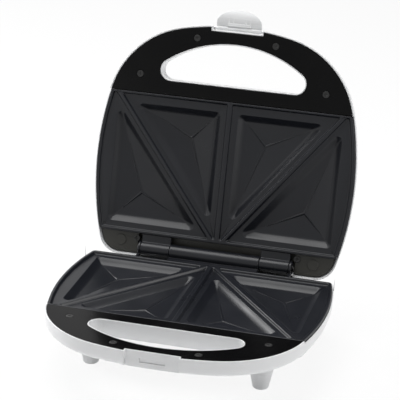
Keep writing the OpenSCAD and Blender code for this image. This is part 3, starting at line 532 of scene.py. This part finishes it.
# %% The tongue's bulge and thickness
for level, _ in BULGE[1:-1]:
    bpy.ops.mesh.select_all(action="SELECT")
    bpy.ops.mesh.bisect(plane_co=(0, level * MM, 0), plane_no=(0, 1, 0))
bpy.ops.object.mode_set(mode="OBJECT")
for v in tongue.data.vertices:
    v.co.z = bulge_at(v.co.y / MM) * MM
thick = tongue.modifiers.new("thick", "SOLIDIFY")
thick.thickness, thick.offset = TONGUE_T * MM, -1
apply_modifiers(tongue)
soften(tongue, SHEET_EDGE, SHARP_ONLY)
print("tongue faces:", len(tongue.data.polygons))

# %% [markdown]
# The bar, its teeth and two later pieces are plain blocks with soft edges, so a helper makes these
# from two corners.

# %% A rounded block
BLOCK_FROM = 30     # the bevel takes edges sharper than this, in degrees


def block(lo, hi, round_by):
    """A block between two corners, in mm, with rounded edges."""
    select_none()
    lo, hi = Vector(lo) * MM, Vector(hi) * MM
    bpy.ops.mesh.primitive_cube_add(size=1, location=(lo + hi) / 2)
    b = bpy.context.object
    bpy.ops.transform.resize(value=hi - lo, center_override=b.location)
    bpy.ops.object.transform_apply(location=True, rotation=True, scale=True)
    soften(b, round_by, BLOCK_FROM)
    return b


# %% [markdown]
# The bar and its four teeth snap over the base's rim. The teeth are a little lower than the bar, as
# ribs are, and a tube at the tongue's foot turns on the latch's pin.

# %% The toothed bar and the pivot tube
BAR = (10.5, 2.2, 2.9, 2.05)          # half length, level, width, and top above the pivot, mm
TEETH = (-9.7, -5.6, 5.6, 9.7)        # places of the four teeth along the bar
TOOTH = (0.75, 4.6)                   # half width of a tooth, and how far it stands up past the bar
TOOTH_DOWN = 0.1                      # a tooth's top below the bar's
BAR_EDGE, TOOTH_EDGE, TUBE_EDGE = 0.4, 0.3, 0.4
TUBE_R, TUBE_POINTS = 1.75, 32

half, level, deep, top = BAR
parts = [block((-half, level, 0), (half, level + deep, top), BAR_EDGE)]
for x in TEETH:
    parts.append(block((x - TOOTH[0], level, 0), (x + TOOTH[0], level + deep + TOOTH[1], top - TOOTH_DOWN),
        TOOTH_EDGE))
select_none()
bpy.ops.mesh.primitive_cylinder_add(vertices=TUBE_POINTS, radius=TUBE_R * MM, depth=2 * LATCH_HALF * MM,
    rotation=(0, math.pi / 2, 0))
tube = bpy.context.object
bpy.ops.object.transform_apply(location=True, rotation=True, scale=True)
soften(tube, TUBE_EDGE, SHARP_ONLY)
only(tongue)
for o in parts + [tube]:
    o.select_set(True)
bpy.ops.object.join()
print("latch faces with its bar and tube:", len(tongue.data.polygons))

# %% [markdown]
# The latch is stood up at its pivot, in line with the open lid, and then stands for the model's own.

# %% Stand the latch up on the lid
out = LID_TURN.to_3x3() @ Vector((0, -1, 0))
inward = Vector((1, 0, 0)).cross(out)
stand = Matrix((Vector((1, 0, 0)), out, inward)).transposed().to_4x4()
tongue.matrix_world = Matrix.Translation(LATCH) @ stand
only(tongue)
bpy.ops.object.transform_apply(location=True, rotation=True, scale=True)
wear(tongue, WHITE)
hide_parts("latch")
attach(tongue, BODY_OF["latch"])
print("latch tip, mm:", round(max(v.co.z for v in tongue.data.vertices) / MM, 1))

# %% [markdown]
# ## The catch in the base
# The slot that the latch closes on isn't a hole into the housing: a small insert sits just behind
# the face, so the slot reads as a shallow pale step and not as a dark gap. Part of the shell's copy
# could be pulled out instead, but a block of its own needs no cutting.

# %% Catch insert
CATCH = ((-10.5, -201.3, -9.8), (10.5, -199.9, -6.1))     # corners in the base's frame, mm
CATCH_EDGE = 0.25
catch = block(*CATCH, CATCH_EDGE)
catch.name = "latch_catch"
only(catch)
catch.matrix_world = Matrix.Translation(in_base(0, 0, 0))
bpy.ops.object.transform_apply(location=True, rotation=True, scale=True)
wear(catch, WHITE)
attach(catch, BODY_OF["base_shell"])
print("catch faces:", len(catch.data.polygons))

# %% [markdown]
# ## A dark block for the painted shade in the hinge's bay
# Behind the barrel the base's rear wall is cut down for the lid's knuckles. A thin dark piece stands on the
# cut edge, below everything that swings, as painted shade: it puts dark where the knuckles' shade falls, so
# no daylight shows under them. It is straight and thin, so a block is enough, and it wears the dark finish of the
# lid's rear cover.

# %% Bay shade, painted with a dark block
BAY_SHADE_STRIP = ((-71, 5.7, -14.6), (71, 7.9, -7.3))          # corners in the base's frame, mm
SHADE_STRIP_EDGE = 0.3
# a dark block painted in as the shade under the knuckles
shade_strip = block(*BAY_SHADE_STRIP, SHADE_STRIP_EDGE)
shade_strip.name = "hinge_bay_shade_strip"
only(shade_strip)
shade_strip.matrix_world = Matrix.Translation(in_base(0, 0, 0))
bpy.ops.object.transform_apply(location=True, rotation=True, scale=True)
wear(shade_strip, COVER)
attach(shade_strip, BODY_OF["base_shell"])
print("strip faces:", len(shade_strip.data.polygons))

# %% [markdown]
# ## The studio
# The photograph has a pure white floor and a broad soft light from above and from the left. A large
# lamp overhead and small ones on each side do that. They are area lamps, because a point or a sun
# would draw hard shadows and hard glints. The low one on the left lights the pockets' slanted walls.


# %% Lamps
def softbox(name, at, aim, size, watts):
    """An area lamp with its place and size in metres, turned towards a point."""
    lamp = bpy.data.lights.new(name, "AREA")
    lamp.shape, lamp.size, lamp.size_y = "RECTANGLE", size[0], size[1]
    lamp.energy = watts
    box = bpy.data.objects.new(name, lamp)
    bpy.context.scene.collection.objects.link(box)
    box.location = at
    box.rotation_euler = (Vector(aim) - Vector(at)).to_track_quat("-Z", "Y").to_euler()


LOW, MID, HIGH = ((0, 0, z) for z in (0.1, 0.12, 0.15))     # where lamps aim, in metres
softbox("overhead", (-0.2, 0.2, 1.5), LOW, (1.4, 1.0), 21.5)
softbox("upper_left", (-1.3, -0.7, 1.25), MID, (0.8, 0.8), 2.2)
softbox("left_wall", (-1.3, 0.42, 0.62), MID, (0.7, 0.5), 11.5)
softbox("front_left_card", (-0.95, -1.7, 0.3), HIGH, (0.7, 0.7), 0.8)
softbox("right_fill", (1.5, -0.1, 0.6), LOW, (0.7, 0.7), 6.8)
print("lamps:", len(bpy.data.lights))


# %% [markdown]
# The floor is pale paper. To the camera and in reflections it is mostly plain white, and the rest of
# it is lit, so the toaster's soft shadow stays. More light would whiten it too, but would bleach the
# toaster.

# %% Floor
def seen_or_mirrored(tree):
    """1 where the camera sees a point directly or in a reflection, and 0 elsewhere."""
    path = add(tree, "ShaderNodeLightPath")
    either = add(tree, "ShaderNodeMath", operation="MAXIMUM")
    tree.links.new(path.outputs["Is Camera Ray"], either.inputs[0])
    tree.links.new(path.outputs["Is Glossy Ray"], either.inputs[1])
    return either.outputs["Value"]


FLOOR_WIDE = 12          # metres
PLAIN_WHITE = 0.88       # share of the floor's look that is plain white
bpy.ops.mesh.primitive_plane_add(size=FLOOR_WIDE, location=(0, 0, 0))
floor = bpy.context.object
floor.name = "studio_floor"
paper, tree, shader = new_material("studio_paper", (0.9, 0.9, 0.9), 0.9)
glow = add(tree, "ShaderNodeEmission")
glow.inputs["Color"].default_value = (1, 1, 1, 1)
lit = add(tree, "ShaderNodeMixShader")
part_white = add(tree, "ShaderNodeMath", operation="MULTIPLY")
part_white.inputs[1].default_value = PLAIN_WHITE
tree.links.new(seen_or_mirrored(tree), part_white.inputs[0])
tree.links.new(part_white.outputs["Value"], lit.inputs["Fac"])
tree.links.new(shader.outputs["BSDF"], lit.inputs[1])
tree.links.new(glow.outputs["Emission"], lit.inputs[2])
tree.links.new(lit.outputs["Shader"], tree.nodes["Material Output"].inputs["Surface"])
wear(floor, paper)
print("floor, metres wide:", FLOOR_WIDE)

# %% [markdown]
# The world shows only above the floor's far edge, in level views. To the camera and in reflections
# it is a pale grey, and it lights the toaster only a little.

# %% World
ROOM_LIGHT = 0.15        # strength of the light that comes from all round
room = bpy.data.worlds.new("studio")
room.use_nodes = True
bpy.context.scene.world = room
tree = room.node_tree
plain = tree.nodes["Background"]
plain.inputs["Color"].default_value = (0.97, 0.98, 1, 1)
plain.inputs["Strength"].default_value = ROOM_LIGHT
pale = add(tree, "ShaderNodeBackground")
pale.inputs["Strength"].default_value = 1
pick = add(tree, "ShaderNodeMixShader")
tree.links.new(seen_or_mirrored(tree), pick.inputs["Fac"])
tree.links.new(plain.outputs["Background"], pick.inputs[1])
tree.links.new(pale.outputs["Background"], pick.inputs[2])
tree.links.new(pick.outputs["Shader"], tree.nodes["World Output"].inputs["Surface"])
print("world nodes:", len(tree.nodes))
